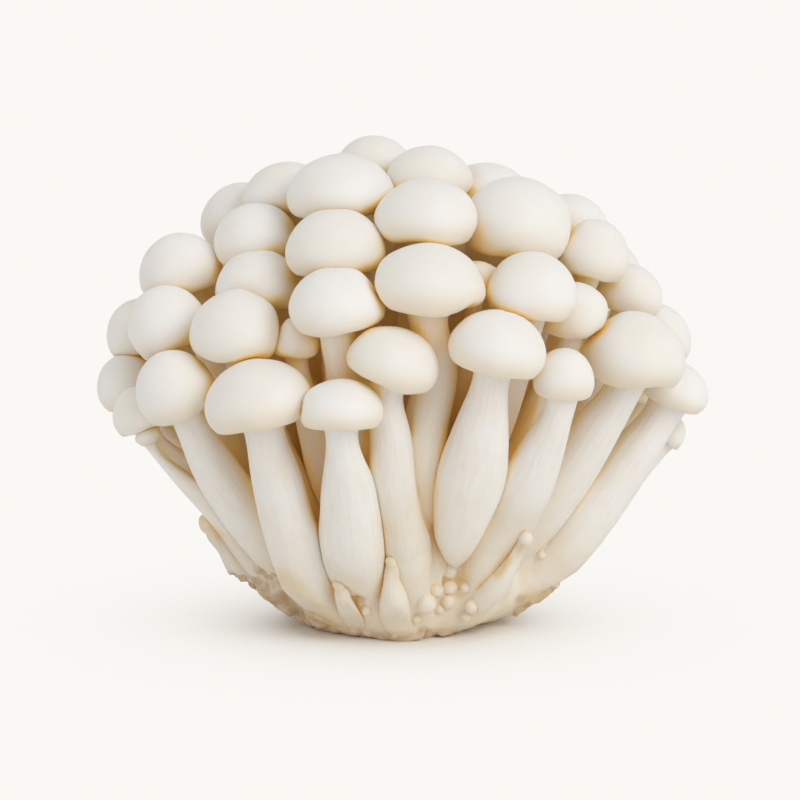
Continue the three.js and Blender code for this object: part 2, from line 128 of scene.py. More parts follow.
def long_spline(rings, knots, places):
    """Rings along a natural cubic spline through the given rings."""
    flat = rings.reshape(len(rings), -1)
    gaps = np.diff(knots)
    size = len(knots)
    matrix = np.eye(size)
    right = np.zeros_like(flat)
    for i in range(1, size - 1):
        matrix[i, i - 1:i + 2] = gaps[i - 1], 2 * (gaps[i - 1] + gaps[i]), gaps[i]
        slopes = (flat[i + 1] - flat[i]) / gaps[i] - (flat[i] - flat[i - 1]) / gaps[i - 1]
        right[i] = 6 * slopes
    bend = np.linalg.solve(matrix, right)
    i = np.clip(np.searchsorted(knots, places, side="right") - 1, 0, size - 2)
    gap = gaps[i][:, None]
    a = (knots[i + 1] - places)[:, None] / gap
    b = 1 - a
    made = a * flat[i] + b * flat[i + 1]
    made += ((a ** 3 - a) * bend[i] + (b ** 3 - b) * bend[i + 1]) * gap ** 2 / 6
    return made.reshape((len(places),) + rings.shape[1:])


def chord_knots(rings):
    steps = np.linalg.norm(np.diff(rings, axis=0), axis=-1).mean(axis=1)
    return np.concatenate([[0], np.cumsum(steps)])


# ---- Reading the CAD cages -------------------------------------------------------------------

def welded(node):
    """The corners and triangles of a CAD node, with doubled corners joined."""
    mesh = node.data
    corners = np.array([v.co for v in mesh.vertices])
    keys = np.round(corners / WELD).astype(np.int64)
    _, first, index = np.unique(keys, axis=0, return_index=True, return_inverse=True)
    index = index.reshape(-1)
    faces = [tuple(int(index[v]) for v in face.vertices) for face in mesh.polygons]
    return corners[first], faces


def cage_of(node, sides):
    """(top, rings, foot) of a lofted CAD solid, its rings from the top down, turning one way."""
    corners, faces = welded(node)
    beside = [set() for _ in corners]
    for face in faces:
        for a, b in zip(face, face[1:] + face[:1]):
            beside[a].add(b)
            beside[b].add(a)
    poles = [i for i, near in enumerate(beside) if len(near) == sides]
    foot, top = sorted(poles, key=lambda i: corners[i][2])
    after = {}
    for face in faces:
        if top in face:
            turn = face.index(top)
            after[face[(turn + 1) % 3]] = face[(turn + 2) % 3]
    ring = [max(after, key=lambda i: corners[i][0])]
    while len(ring) < sides:
        ring.append(after[ring[-1]])
    rings = [ring]
    seen = {top, foot, *ring}
    while True:
        lower = []
        for side in range(sides):
            shared = beside[ring[side - 1]] & beside[ring[side]]
            lower += [i for i in shared if i not in seen]
        if len(lower) < sides:
            break
        seen.update(lower)
        rings.append(lower)
        ring = lower
    return corners[top], corners[np.array(rings)], corners[foot]


# ---- Growing the fine skins ------------------------------------------------------------------

class Skin:
    """A closed skin on a grid of rings and columns, with what the materials need at each corner."""

    def __init__(self, name, places, top, foot):
        self.name = name
        self.places = places
        self.top = top
        self.foot = foot
        rings, columns = places.shape[:2]
        self.stem = np.zeros(rings)          # 0 on the cap and the gills, 1 on the stem
        self.along = np.zeros(rings)         # 0 at the cap, 1 at the foot
        self.gills = np.zeros(rings)         # 1 on the gills
        self.open = np.ones((rings, columns))
        self.rooted = np.zeros((rings, columns))

    def faces(self):
        rings, columns = self.places.shape[:2]
        made = []
        for column in range(columns):
            after = (column + 1) % columns
            made.append((0, 1 + column, 1 + after))
        for ring in range(rings - 1):
            upper = 1 + ring * columns
            lower = upper + columns
            for column in range(columns):
                after = (column + 1) % columns
                made.append((upper + column, lower + column, lower + after, upper + after))
        lowest = 1 + (rings - 1) * columns
        last = lowest + columns
        for column in range(columns):
            made.append((lowest + column, last, lowest + (column + 1) % columns))
        return made

    def corners(self):
        return np.concatenate([self.top[None], self.places.reshape(-1, 3), self.foot[None]])

    def normals(self):
        around = np.roll(self.places, -1, axis=1) - np.roll(self.places, 1, axis=1)
        down = np.gradient(self.places, axis=0)
        return unit(np.cross(down, around))

    def shape(self):
        return self.corners(), self.faces()

    def tree(self):
        return tree_of([self.shape()])


def grow_mushroom(name, node, seed):
    top, rings, foot = cage_of(node, MUSHROOM_SIDES)
    rings = round_spline(rings, COLUMNS)
    cap, stem = rings[:CAP_CAGE], rings[CAP_CAGE:]
    half = COLUMNS // 2
    widest = cap[2].mean(axis=0)
    axis = unit(top - widest)
    rim = cap[-1]
    rise = axis * float((widest - rim.mean(axis=0)) @ axis) * GILL_DEPTH
    far_side = np.roll(cap[1::-1], half, axis=1)
    pole = np.broadcast_to(top, (1, COLUMNS, 3))
    pin = name.startswith("pin")
    if pin:
        profile = np.concatenate([far_side, pole, cap[:4], stem])
        knots = chord_knots(profile)
        start, end = knots[2], knots[-1]
        places = np.linspace(start, end, CAP_RINGS + STEM_RINGS + 1)[1:]
        grid = long_spline(profile, knots, places)
        neck = int(np.searchsorted(places, knots[7]))
        under = neck
    else:
        inside = np.array([rim + (stem[0] - rim) * inward + rise * lift
                           for inward, lift in UNDERSIDE])
        profile = np.concatenate([far_side, pole, cap, inside])
        knots = chord_knots(profile)
        start, bottom, end = knots[2], knots[7], knots[-1]
        dome = np.linspace(start, bottom, CAP_RINGS * 3 // 5 + 1)[1:]
        hidden = np.linspace(bottom, end, CAP_RINGS * 2 // 5 + 1)[1:]
        cap_grid = long_spline(profile, knots, np.concatenate([dome, hidden]))
        middle = stem.mean(axis=1, keepdims=True)
        head = stem[0] + rise * HEAD_RISE
        head = head.mean(axis=0) + (head - head.mean(axis=0)) * NECK_FLARE
        below = unit(-HEEL_INWARD * unit(middle[-1] * (1, 1, 0)) - (0, 0, HEEL_DOWN))
        beyond = stem[-1] + below * HEEL
        beyond[:, 2] = np.maximum(beyond[:, 2], LOWEST_HEEL)
        profile = np.concatenate([head[None], stem, beyond[None]])
        knots = chord_knots(profile)
        stem_grid = long_spline(profile, knots, np.linspace(0, knots[-1], STEM_RINGS))
        grid = np.concatenate([cap_grid, stem_grid])
        under = len(dome)
        neck = len(cap_grid)
        foot = beyond.mean(axis=0)
    skin = Skin(name, grid, top, foot)
    count = len(grid)
    skin.stem[neck:] = 1
    skin.along[neck:] = np.linspace(0, 1, count - neck)
    if not pin:
        skin.gills[under + 3:neck] = 1
    skin.seed = seed
    skin.tone = 0.5 + 0.5 * math.sin(seed * 2.4)
    skin.axis = axis
    skin.middle = widest
    skin.radius = float(np.linalg.norm(cap[2] - widest, axis=1).mean())
    skin.neck = neck
    skin.under = under
    flare_foot(skin)
    if not pin:
        wave_rim(skin)
    shape_by_chance(skin)
    return skin


def flare_foot(skin):
    """The last part of a stem widens where it runs into the butt, or narrows to a point."""
    start, size = TAPERED.get(skin.name, FOOT_FLARE)
    swell = 1 + (size - 1) * smoothstep(start, 1.0, skin.along)[:, None, None]
    middle = skin.places.mean(axis=1, keepdims=True)
    skin.places = middle + (skin.places - middle) * swell


def wave_rim(skin):
    """The rim rises and falls a little round the cap, more where LOBES says so."""
    rings = np.arange(skin.neck)
    share = np.where(rings < skin.under, smoothstep(0.4, 1, rings / skin.under),
                     1 - smoothstep(0, 1, (rings - skin.under) / (skin.neck - skin.under)))
    out = skin.places[skin.under] - skin.middle
    turns = np.arctan2(out[:, 0], -out[:, 1])
    around = [Vector((math.cos(t) * RIM_TURNS, math.sin(t) * RIM_TURNS, skin.seed)) for t in turns]
    drop = np.array([RIM_WAVE * noise.noise(place) for place in around])
    for bearing, spread, depth in LOBES.get(skin.name, []):
        apart = (np.degrees(turns) - bearing + 180) % 360 - 180
        drop += depth * np.exp(-(apart / spread) ** 2)
    shift = share[:, None] * drop * skin.radius
    skin.places[:skin.neck] -= shift[:, :, None] * skin.axis


def shape_by_chance(skin):
    """Soft dents in the cap, and fine ridges and slow swells along the stem."""
    shift = Vector([skin.seed * step for step in SEED_STEPS])
    normals = skin.normals()
    rings, columns = skin.places.shape[:2]
    moved = np.zeros((rings, columns))
    for ring in range(rings):
        for column in range(columns):
            place = Vector(skin.places[ring, column])
            if skin.stem[ring]:
                turn = 2 * math.pi * column / columns
                ridges = Vector((math.cos(turn) * 6, math.sin(turn) * 6, skin.along[ring] * 3))
                swell = Vector((math.cos(turn), math.sin(turn), skin.along[ring] * 4))
                moved[ring, column] = FIBRES * noise.noise(ridges + shift)
                moved[ring, column] += STEM_SWELL * noise.noise(swell + shift)
            elif not skin.gills[ring]:
                soft = noise.noise(place * (0.9 / skin.radius) + shift)
                fine = noise.noise(place * (2.6 / skin.radius) + shift) * 0.3
                moved[ring, column] = DENTS * skin.radius * (soft + fine)
    skin.places = skin.places + normals * moved[:, :, None]


def settle(skins, rounds):
    """Skins that run into each other both give way, and skins that nearly touch draw together."""
    for turn in range(rounds):
        trees = [skin.tree() for skin in skins]
        lows = [skin.places.min(axis=(0, 1)) - STEM_CLOSE for skin in skins]
        highs = [skin.places.max(axis=(0, 1)) + STEM_CLOSE for skin in skins]
        pushes = []
        for mine, skin in enumerate(skins):
            push = np.zeros_like(skin.places)
            reach = np.where(skin.stem > 0, STEM_CLOSE, CLOSE)
            reach = reach * (1 - LOOSE_SHARE * smoothstep(*LOOSE_FOOT, skin.along))
            for other in range(len(skins)):
                if other == mine:
                    continue
                close = (skin.places > lows[other]).all(axis=2)
                close &= (skin.places < highs[other]).all(axis=2)
                for ring, column in zip(*np.nonzero(close)):
                    place = Vector(skin.places[ring, column])
                    at, normal, _, gap = trees[other].find_nearest(place)
                    if (place - at).dot(normal) < 0:
                        push[ring, column] += np.array(normal) * (gap + TOUCH) / 2
                    elif turn == 0 and 0 < reach[ring] and gap < reach[ring]:
                        pull = 1 - smoothstep(CLOSED * reach[ring], reach[ring], gap)
                        pull = pull * (gap - TOUCH) / 2
                        push[ring, column] -= np.array(normal) * pull
            pushes.append(push)
        for skin, push in zip(skins, pushes):
            push = blurred(push, 2 if turn == 0 else 1)
            length = np.linalg.norm(push, axis=2, keepdims=True)
            share = np.minimum(1, MOST_PUSH / np.maximum(length, 1e-9))
            skin.places = skin.places + push * share


# ---- Light in the crevices -------------------------------------------------------------------

def sky_directions(count):
    """Directions spread evenly over a sphere."""
    index = np.arange(count) + 0.5
    height = 1 - 2 * index / count
    turn = math.pi * (1 + 5 ** 0.5) * index
    level = np.sqrt(1 - height ** 2)
    return np.stack([level * np.cos(turn), level * np.sin(turn), height], axis=1)


RAYS = sky_directions(44)
RAY_LENGTH = 40 * MM
RAY_START = 0.1 * MM            # off the skin
LEAST_FACING = 0.12             # rays flatter to the skin than this are left out
BLOCKED = 0.7                   # counted for a ray that is stopped at its very end
BURIED = 0.55                   # counted for a ray that starts inside another skin


def openness(tree, place, normal):
    """How open the skin is to the air: 1 in the open, towards 0 deep in a crevice."""
    facing = RAYS @ normal
    total = 0.0
    clear = 0.0
    start = Vector(place + normal * RAY_START)
    for direction, weight in zip(RAYS, facing):
        if weight < LEAST_FACING:
            continue
        at, facing_out, _, distance = tree.ray_cast(start, Vector(direction), RAY_LENGTH)
        total += weight
        if at is None:
            clear += weight
        elif facing_out.dot(direction) > 0:
            clear += weight * BURIED
        else:
            clear += weight * distance / RAY_LENGTH * BLOCKED
    return clear / total if total else BURIED


def find_openness(skins, tree):
    """Every other ring and column is looked at, and those between take the middle."""
    for skin in skins:
        normals = skin.normals()
        field = skin.open
        rings, columns = field.shape
        for ring in range(0, rings, 2):
            for column in range(0, columns, 2):
                place, normal = skin.places[ring, column], normals[ring, column]
                field[ring, column] = openness(tree, place, normal)
        field[:, 1::2] = (field[:, ::2] + np.roll(field[:, ::2], -1, axis=1)) / 2
        odd = np.arange(1, rings, 2)
        below = np.minimum(odd + 1, rings - 1 - (rings - 1) % 2)
        field[odd] = (field[odd - 1] + field[below]) / 2
        skin.open = blurred(field, 1)


# ---- The butt --------------------------------------------------------------------------------

BUTT_SWELL = 1.06               # the fused tissue stands this much further out than the CAD butt
VOXEL = 0.42 * MM
ROOTED = 6 * MM                 # a stem's skin turns into the butt's over this distance
WEB = 0.8 * MM                  # half the width of the gaps that the fused tissue closes
SLEEVE = (8 * MM, 15 * MM)      # how far the fused tissue climbs the stems
SLEEVE_TOP = -0.55 * MM         # it starts this far inside a stem
SLEEVE_GROWTH = 2.0 * MM        # and stands out this much more at the foot
HEEL_LIFT = 0.7                 # of the lump under a foot, over the stem's radius
HEEL_SIZE = 0.95
HIGH_SLEEVES = {                # the same, mm, for stems that run together higher up
    "front_low_1": 18, "front_low_2": 12, "front_low_3": 12, "front_low_4": 26, "front_mid_4": 26,
    "front_low_5": 9, "front_low_6": 26, "front_low_7": 20, "front_low_8": 20,
    "left_3": 26, "left_4": 28, "left_5": 26, "pin_1": 9, "pin_2": 5, "pin_3": 6, "pin_4": 7,
}
APRON = [                       # swollen tissue at the front: middle and half widths, mm
    ((8.5, -13.5, 4.5), (9.5, 5.5, 7.5)),
    ((15, -10, 6), (6, 5, 6)),
    ((14.7, -14.4, 9.1), (2.3, 3.2, 3.0)),
]
# The underside rises off the floor round the cut like a bowl: height above the cut and how far out
# the tissue may reach there, in mm. A lobe stands further out at the front.
UNDERCUT = [(0, 15.0), (1, 17.8), (2.5, 21.2), (5, 24.4), (7, 27), (10, 32), (14, 60)]
UNDERCUT_SOFT = 1.6
UNDERCUT_WAVES = [(0.5, 5, 0), (0.4, 11, 40)]   # mm, waves round the butt, start in degrees
LOBE_BEARING = -4
LOBE_SPREAD = 15
LOBE_REACH = 3.4
LOBE_TOP = 5
CLUMPS = [                      # growing medium left on the rim: bearing and spread in degrees,
    (-30, 10, 0.9, 1.4, 60),    # height and spread of the height in mm, grains
    (-48, 10, 2.4, 2.8, 90),
    (-66, 10, 5.2, 4.0, 90),
    (-54, 7, 8.6, 4.4, 60),
    (-82, 8, 8.5, 3.6, 46),
    (-6, 11, 0.7, 0.8, 30),
    (72, 8, 5.5, 2.6, 46),
    (20, 16, 0.6, 0.8, 16),
    (110, 24, 1.8, 3.0, 46),
    (165, 20, 1.0, 1.6, 30),
    (-150, 26, 2.2, 3.2, 52),
    (-100, 12, 3.0, 2.0, 22),
]
# Buds on the front: how far right, how high and how wide, in mm, at the plane BUD_PLANE. Each sits
# where a line that falls towards the back meets the butt.
FRONT_BUDS = [
    (8.3, 12.3, 2.6), (5.8, 8.8, 2.4), (8.3, 9.2, 2.8), (4.2, 6.6, 3.3), (8.0, 6.7, 2.5),
    (11.0, 9.2, 1.9), (12.0, 5.9, 2.3), (11.1, 4.1, 1.9), (6.4, 5.4, 1.8), (21.4, 18.2, 2.4),
    (2.4, 3.8, 1.6), (-6.4, 5.4, 1.7), (24.6, 14.8, 1.5),
]
BUD_PLANE = -18 * MM
BUD_FALL = 8                    # how much those lines fall, in degrees
OTHER_BUDS = [(95, 5), (178, 6), (-128, 5)]   # bearing in degrees, buds in the group
BUD_SPREAD = 12                 # of a group, in degrees
BUD_HEIGHT = (3, 11)            # mm
BUD_WIDTH = (1.5, 3)            # mm
BUD_SQUASH = (0.92, 1.1)
OUTSIDE = 80 * MM               # from the axis to where lines towards the butt start
LINE = 90 * MM                  # their length
GRAINS = (0.5, 1.15)            # radius of a grain, mm
LOWEST_GRAIN = 0.2 * MM
MEDIUM = (0.7 * MM, 1.9 * MM)   # the tissue is tan this near to a grain, and pale from there on
# Ochre stains on the front: from and to, each how far right and how high, half width, mm, strength.
STAINS = [
    ((16.6, 13.0), (18.0, 15.4), 1.0, 0.7),
    ((20.2, 17.0), (20.6, 17.9), 0.7, 0.5),
    ((-20.6, 12.6), (-18.4, 10.6), 1.9, 0.5),
    ((-16.4, 8.6), (-12.2, 3.4), 1.6, 0.35),
    ((-33.6, 19.4), (-32.4, 18.0), 1.0, 0.6),
    ((9.0, 9.6), (12.4, 4.2), 1.3, 0.12),
    ((23.4, 6.2), (26.2, 5.4), 1.8, 0.5),
    ((17.6, 69.6), (14.4, 66.2), 2.6, 0.16),
]
RIM_PAINTED_SHADE = 0.42               # strength of the painted shade, warm like ochre, along the open rim of a cap where it rolls under
PIN_TIP = 0.5                   # strength of the ochre at the tip of a pin
PIN_FUSED = 0.7                 # a pin is this far on the way to the butt's own tissue
ROUGHNESS = 0.16                # height of the medium's roughness, mm
UNEVENNESS = 0.2                # and of the tissue's lumps, mm


def undercut(places):
    """Draws the lowest tissue in under the bunch."""
    level = places[..., 2] / MM
    out = np.maximum(np.linalg.norm(places[..., :2], axis=-1) / MM, 0.01)
    bearing = np.degrees(np.arctan2(places[..., 0], -places[..., 1]))
    most = np.interp(level, *zip(*UNDERCUT))
    lobe = np.exp(-((bearing - LOBE_BEARING) / LOBE_SPREAD) ** 2)
    most += LOBE_REACH * lobe * (1 - smoothstep(0, LOBE_TOP, level))
    for height, count, turn in UNDERCUT_WAVES:
        most += height * np.sin(np.radians(count * bearing + turn))
    over = (out - most) / UNDERCUT_SOFT + 1
    drawn = most + UNDERCUT_SOFT * (np.tanh(over) - 1)
    share = np.where(over > 0, drawn / out, 1)
    return places * np.stack([share, share, np.ones_like(share)], axis=-1)


def sleeve_of(skin, reach):
    """A tube round the lower end of a stem: wider than it at the foot, and hidden in it above."""
    middle = skin.places.mean(axis=1)
    steps = np.linalg.norm(np.diff(middle, axis=0), axis=1)
    to_foot = np.concatenate([np.cumsum(steps[::-1])[::-1], [0]])
    chosen = (skin.stem > 0) & (to_foot < reach)
    rings = skin.places[chosen]
    out = unit(rings - middle[chosen][:, None])
    share = smoothstep(0, 1, 1 - to_foot[chosen] / reach)[:, None, None]
    grown = rings + out * (share * SLEEVE_GROWTH + SLEEVE_TOP + WEB)
    return Skin("sleeve", grown, grown[0].mean(axis=0), grown[-1].mean(axis=0))


def heel_of(skin):
    """The lump under a foot, which carries the stem's swell down to the cut."""
    middle = skin.places[-1].mean(axis=0)
    ring = skin.places[-4]
    radius = float(np.linalg.norm(ring - ring.mean(axis=0), axis=1).mean())
    middle[2] = max(middle[2], radius * HEEL_LIFT)
    return ball(middle, radius * HEEL_SIZE + WEB)


def ball(middle, radii, sides=14, rings=9):
    polar = np.pi * (np.arange(rings) + 1) / (rings + 1)
    turn = 2 * np.pi * np.arange(sides) / sides
    grid = np.stack([np.outer(np.sin(polar), np.cos(turn)), np.outer(np.sin(polar), np.sin(turn)),
                     np.outer(np.cos(polar), np.ones(sides))], axis=2)
    radii = np.broadcast_to(radii, 3)
    up = np.array([0, 0, radii[2]])
    return Skin("ball", middle + grid * radii, middle + up, middle - up)


def line_from(bearing, height):
    """The start and direction of a level line that comes in from a bearing."""
    turn = math.radians(bearing)
    out = Vector((math.sin(turn), -math.cos(turn), 0))
    return out * OUTSIDE + Vector((0, 0, height)), -out


def scatter_grains(tree, chance):
    """Grains of growing medium on the rim of the butt, each (middle, radius)."""
    grains = []
    for bearing, spread, height, rise, count in CLUMPS:
        for _ in range(count):
            level = max((height + rise * float(chance.normal()) * 0.5) * MM, LOWEST_GRAIN)
            start, way = line_from(bearing + spread * float(chance.normal()) * 0.6, level)
            hit = tree.ray_cast(start, way, OUTSIDE)[0]
            if hit is not None:
                radius = float(chance.uniform(*GRAINS)) * MM
                grains.append((np.array(hit + way * radius * 0.1), radius))
    return grains


def scatter_buds(tree, chance):
    """Round buds and the short stalks under them, two lists of shells."""
    fall = math.radians(BUD_FALL)
    inward = Vector((0, math.cos(fall), -math.sin(fall)))
    lines = [(Vector((x * MM, BUD_PLANE, z * MM)) - inward * 70 * MM, inward, width)
             for x, z, width in FRONT_BUDS]
    for bearing, count in OTHER_BUDS:
        for _ in range(count):
            start, way = line_from(bearing + float(chance.uniform(-BUD_SPREAD, BUD_SPREAD)),
                                   float(chance.uniform(*BUD_HEIGHT)) * MM)
            lines.append((start, way, float(chance.uniform(*BUD_WIDTH))))
    buds = []
    stalks = []
    for start, way, width in lines:
        hit = tree.ray_cast(start, way, LINE)[0]
        if hit is None:
            continue
        radius = width / 2 * MM
        squash = np.array([1, 1, float(chance.uniform(*BUD_SQUASH))])
        buds.append(ball(np.array(hit - way * radius * 0.5), radius * squash, 22, 15))
        stalks.append(ball(np.array(hit + way * radius * 0.3), radius * 1.05))
    return buds, stalks


def joined(parts):
    corners = []
    faces = []
    for places, polygons in parts:
        base = len(corners)
        corners += [tuple(c) for c in places]
        faces += [tuple(base + v for v in face) for face in polygons]
    return corners, faces


def tree_of(parts):
    return BVHTree.FromPolygons(*joined(parts))


def fused(parts):
    """One closed shape round all the given ones: corners, faces and edges."""
    shell = piece_from("fused", *joined(parts))
    remesh = shell.modifiers.new("fuse", "REMESH")
    remesh.mode = "VOXEL"
    remesh.voxel_size = VOXEL
    mesh = shell.evaluated_get(bpy.context.evaluated_depsgraph_get()).to_mesh()
    corners, faces = mesh_shape(mesh)
    edges = np.array([e.vertices[:] for e in mesh.edges])
    bpy.data.objects.remove(shell)
    return corners, faces, edges


def mesh_shape(mesh):
    return np.array([v.co for v in mesh.vertices]), [tuple(f.vertices) for f in mesh.polygons]


def eased(corners, edges, rounds, share=0.5):
    """Corners after some rounds of drawing each towards its neighbours."""
    count = np.bincount(edges.ravel(), minlength=len(corners))[:, None]
    for _ in range(rounds):
        total = np.zeros_like(corners)
        np.add.at(total, edges[:, 0], corners[edges[:, 1]])
        np.add.at(total, edges[:, 1], corners[edges[:, 0]])
        corners = corners + (total / count - corners) * share
    return corners


def normals_of(corners, faces):
    quads = np.array([face if len(face) == 4 else face + face[-1:] for face in faces])
    across = corners[quads[:, 2]] - corners[quads[:, 0]]
    over = corners[quads[:, 3]] - corners[quads[:, 1]]
    flat = np.cross(across, over)
    total = np.zeros_like(corners)
    for side in range(4):
        np.add.at(total, quads[:, side], flat)
    return unit(total)


def build_butt(node, skins, chance):
    """The butt with the feet of the stems run into it, its buds, and the medium on its rim."""
    corners, faces = welded(node)
    swollen = corners * (BUTT_SWELL, BUTT_SWELL, 1)
    out = unit(corners * (1, 1, 0)) * (corners[:, 2:] > 0.1 * MM)
    parts = [(swollen + out * WEB, faces)]
    for skin in skins:
        reach = HIGH_SLEEVES.get(skin.name, float(chance.uniform(*SLEEVE)) / MM) * MM
        parts.append(sleeve_of(skin, reach).shape())
        parts.append(heel_of(skin).shape())
    for middle, radii in APRON:
        parts.append(ball(np.array(middle) * MM, np.array(radii) * MM + WEB, 24, 15).shape())
    corners, faces, edges = fused(parts)
    corners = eased(corners, edges, 3)
    corners = corners - normals_of(corners, faces) * WEB
    corners = undercut(eased(corners, edges, 2))
    mass = (corners, faces)
    tree = tree_of([mass] + [skin.shape() for skin in skins])
    grains = scatter_grains(tree, chance)
    lumps = [ball(middle, radius, 10, 7).shape() for middle, radius in grains]
    buds, stalks = scatter_buds(tree, chance)
    corners, faces, edges = fused([mass] + lumps + [stalk.shape() for stalk in stalks])
    corners = eased(corners, edges, 2)
    middles = KDTree(len(grains))
    for index, (middle, _) in enumerate(grains):
        middles.insert(Vector(middle), index)
    middles.balance()
    apart = np.array([middles.find(Vector(c))[2] for c in corners])
    medium = 1 - smoothstep(*MEDIUM, apart)
    rough = [noise.fractal(Vector(c * 900), 1.0, 2.0, 3) for c in corners]
    soft = [noise.noise(Vector(c * 260)) for c in corners]
    lift = (ROUGHNESS * np.array(rough) * medium + UNEVENNESS * np.array(soft)) * MM
    corners = corners + normals_of(corners, faces) * lift[:, None]
    places, faces = joined([(corners, faces)] + [bud.shape() for bud in buds])
    places = np.array(places)
    places[:, 2] = np.maximum(places[:, 2], 0)
    piece = piece_from("butt_look", places, faces)
    set_attribute(piece, "medium", np.concatenate([medium, np.zeros(len(places) - len(medium))]))
    set_attribute(piece, "stain_and_rim_shade", stain_at(places))
    return piece


def find_rooted(skins, butt_tree):
    """Where a stem runs into the butt: 1 inside it, fading out above."""
    for skin in skins:
        for ring in np.nonzero(skin.stem)[0]:
            for column in range(skin.places.shape[1]):
                place = Vector(skin.places[ring, column])
                at, normal, _, gap = butt_tree.find_nearest(place)
                if (place - at).dot(normal) < 0:
                    gap = 0
                skin.rooted[ring, column] = 1 - smoothstep(0, ROOTED, gap)
        skin.rooted = blurred(skin.rooted, 1)


def stain_at(places):
    """How stained each place is."""
    right, back, up = (places[..., axis] / MM for axis in range(3))
    total = np.zeros(places.shape[:-1])
    for (x0, z0), (x1, z1), width, strength in STAINS:
        way = np.array([x1 - x0, z1 - z0])
        part = np.clip(((right - x0) * way[0] + (up - z0) * way[1]) / (way @ way), 0, 1)
        apart = np.hypot(right - x0 - part * way[0], up - z0 - part * way[1])
        spot = strength * (1 - smoothstep(0.3 * width, 1.6 * width, apart)) * (back < 0)
        total = np.maximum(total, spot)
    return total


def open_piece(piece, tree):
    """Gives a free-form piece its openness."""
    values = [openness(tree, np.array(v.co), np.array(v.normal)) for v in piece.data.vertices]
    set_attribute(piece, "open", values)


# ---- Building the pieces ---------------------------------------------------------------------

def piece_from(name, corners, faces):
    mesh = bpy.data.meshes.new(name)
    mesh.from_pydata([tuple(c) for c in corners], [], faces)
    mesh.polygons.foreach_set("use_smooth", [True] * len(faces))
    mesh.update()
    piece = bpy.data.objects.new(name, mesh)
    bpy.context.scene.collection.objects.link(piece)
    return piece


def set_attribute(piece, name, values, kind="FLOAT"):
    attribute = piece.data.attributes.new(name, kind, "POINT")
    key = "vector" if kind == "FLOAT_VECTOR" else "value"
    attribute.data.foreach_set(key, np.asarray(values, np.float32).ravel())


def with_poles(grid):
    """A value for every corner of a skin, poles included."""
    return np.concatenate([[grid[0].mean()], grid.ravel(), [grid[-1].mean()]])


def build_mushroom(skin):
    piece = piece_from(skin.name + "_look", skin.corners(), skin.faces())
    rings, columns = skin.places.shape[:2]
    whole = np.ones((rings, columns))
    stain_and_rim_shade = stain_at(skin.places)
    # Painted shade: the rim of a cap, where it rolls under, is warmed towards ochre, less so in
    # crevices; it shares one channel with the real stains
    edge = smoothstep(0.55, 0.95, np.arange(rings) / skin.under) * (skin.stem == 0)
    stain_and_rim_shade = np.maximum(stain_and_rim_shade, RIM_PAINTED_SHADE * edge[:, None] * smoothstep(0.3, 0.6, skin.open))
    if skin.name.startswith("pin"):
        tip = 1 - smoothstep(0, 0.3, np.linspace(0, 1, rings))[:, None]
        stain_and_rim_shade = np.maximum(stain_and_rim_shade, PIN_TIP * tip)
        skin.rooted = np.maximum(skin.rooted, PIN_FUSED)
    set_attribute(piece, "open", with_poles(skin.open))
    set_attribute(piece, "rooted", with_poles(skin.rooted))
    set_attribute(piece, "stain_and_rim_shade", with_poles(stain_and_rim_shade))
    set_attribute(piece, "tone", np.full(rings * columns + 2, skin.tone))
    set_attribute(piece, "stem", with_poles(skin.stem[:, None] * whole))
    set_attribute(piece, "along", with_poles(skin.along[:, None] * whole))
    set_attribute(piece, "gills", with_poles(skin.gills[:, None] * whole))
    turn = 2 * np.pi * np.arange(columns) / columns
    grain = np.zeros((rings, columns, 3))
    grain[..., 0] = np.cos(turn)
    grain[..., 1] = np.sin(turn)
    grain[..., 2] = skin.along[:, None] * 6 + skin.seed * 9
    ends = np.concatenate([grain[:1].mean(axis=1), grain.reshape(-1, 3), grain[-1:].mean(axis=1)])
    set_attribute(piece, "grain", ends, "FLOAT_VECTOR")
    add_unwrapping(piece, rings, columns)
    return piece


def add_unwrapping(piece, rings, columns):
    """Columns run across the map and rings run down it."""
    layer = piece.data.uv_layers.new(name="OFBake")
    places = []
    for face in piece.data.polygons:
        corners = list(face.vertices)
        across = []
        down = []
        for corner in corners:
            if 0 < corner <= rings * columns:
                across.append((corner - 1) % columns)
                down.append((corner - 1) // columns + 1)
            else:
                across.append(None)
                down.append(0 if corner == 0 else rings + 1)
        known = [a for a in across if a is not None]
        wraps = max(known) - min(known) > columns / 2
        known = [a + columns if wraps and a == 0 else a for a in known]
        middle = sum(known) / len(known)
        for a, d in zip(across, down):
            if a is None:
                a = middle
            elif wraps and a == 0:
                a = columns
            places += [0.01 + 0.98 * a / columns, 0.99 - 0.98 * d / (rings + 1)]
    layer.data.foreach_set("uv", places)


# ---- Materials -------------------------------------------------------------------------------

def nodes_of(name):
    material = bpy.data.materials.new(name)
    material.use_nodes = True
    tree = material.node_tree
    tree.nodes.clear()
    return material, tree


def add(tree, kind, inputs=None, **settings):
    node = tree.nodes.new(kind)
    for key, value in settings.items():
        setattr(node, key, value)
    for key, value in (inputs or {}).items():
        if isinstance(value, bpy.types.NodeSocket):
            tree.links.new(value, node.inputs[key])
        else:
            node.inputs[key].default_value = value
    return node


def colour_mix(tree, part, first, second, blend="MIX"):
    node = add(tree, "ShaderNodeMix", data_type="RGBA", blend_type=blend)
    for index, value in ((0, part), (6, first), (7, second)):
        if isinstance(value, bpy.types.NodeSocket):
            tree.links.new(value, node.inputs[index])
        else:
            node.inputs[index].default_value = value
    return node.outputs[2]


def ranged(tree, value, low, high, to_low, to_high):
    node = add(tree, "ShaderNodeMapRange", {"Value": value, "From Min": low, "From Max": high,
                                            "To Min": to_low, "To Max": to_high},
               interpolation_type="SMOOTHSTEP")
    return node.outputs["Result"]


